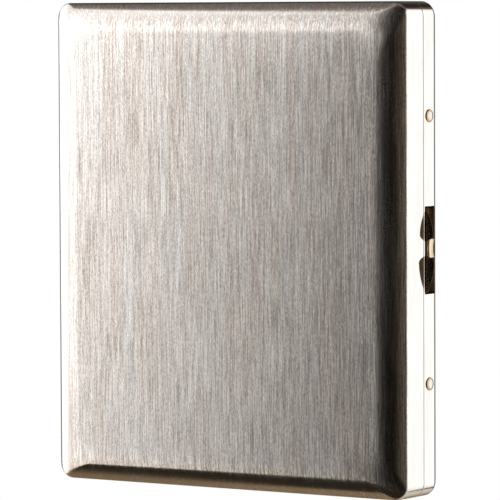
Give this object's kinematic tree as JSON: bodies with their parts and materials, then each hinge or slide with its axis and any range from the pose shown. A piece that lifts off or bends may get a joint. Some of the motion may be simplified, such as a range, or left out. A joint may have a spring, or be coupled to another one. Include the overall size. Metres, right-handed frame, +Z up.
{
  "type": "business card case",
  "caption": "Rigid hinged metal case for flat cards: two pillow-faced covers, side hinge, sprung press latch on the opposite edge, and a sprung retaining arm in each half.",
  "frame": {"origin": "middle of the closed case's bottom wall, in the plane of its underside and half way through its thickness", "axes": "+Z up the long side, +X across towards the thumb piece, -Y towards the front face, +Y towards the rear face; closed case"},
  "size_m": [0.0864, 0.015, 0.097],
  "materials": {
    "cover_front": "vertically brushed antique nickel, polished side walls",
    "cover_rear": "vertically brushed antique nickel, polished side walls",
    "frame": "gilt brass, satin",
    "hinge": "bright nickel plate",
    "steel": "bare spring steel",
    "thumb_brass": "dark polished brass",
    "rivet": "bright nickel plate",
    "arm_brass": "gilt brass, satin"
  },
  "bodies": {
    "rear_half": {"rear_cover": "cover_rear", "rear_frame_upper": "frame", "rear_frame_lower": "frame", "hinge_leaf_rear": "hinge", "hinge_pin": "steel", "latch_rivet_upper": "rivet", "latch_rivet_lower": "rivet", "latch_leaf_spring": "steel", "rear_arm_bracket": "hinge", "rear_arm_pin": "steel", "rear_arm_spring": "steel"},
    "front_half": {"front_cover": "cover_front", "front_frame": "frame", "hinge_leaf_front": "hinge", "latch_keeper": "hinge", "front_arm_bracket": "hinge", "front_arm_pin": "steel", "front_arm_spring": "steel"},
    "latch": {"thumb_piece": "thumb_brass"},
    "front_retainer": {"front_arm": "arm_brass"},
    "rear_retainer": {"rear_arm": "arm_brass"}
  },
  "joints": [
    {"name": "lid_hinge", "type": "hinge", "parent": "rear_half", "child": "front_half", "pos_m": [-0.04215, 0.00085, 0.0485], "axis": [0, 0, -1], "range_deg": [0, 180]},
    {"name": "latch_press", "type": "slide", "parent": "rear_half", "child": "latch", "axis": [-1, 0, 0], "range_m": [0, 0.0012], "stiffness_N_per_m": 1500, "springref_m": -0.0004, "deforming": ["latch_leaf_spring"]},
    {"name": "front_arm_swing", "type": "hinge", "parent": "front_half", "child": "front_retainer", "pos_m": [-0.035, -0.0048, 0.0575], "axis": [0, 0, 1], "range_deg": [0, 8], "stiffness_Nm_per_rad": 0.06, "springref_deg": -17.19, "deforming": ["front_arm_spring"]},
    {"name": "rear_arm_swing", "type": "hinge", "parent": "rear_half", "child": "rear_retainer", "pos_m": [-0.035, 0.0048, 0.0395], "axis": [0, 0, -1], "range_deg": [0, 8], "stiffness_Nm_per_rad": 0.06, "springref_deg": -17.19, "deforming": ["rear_arm_spring"]}
  ]
}
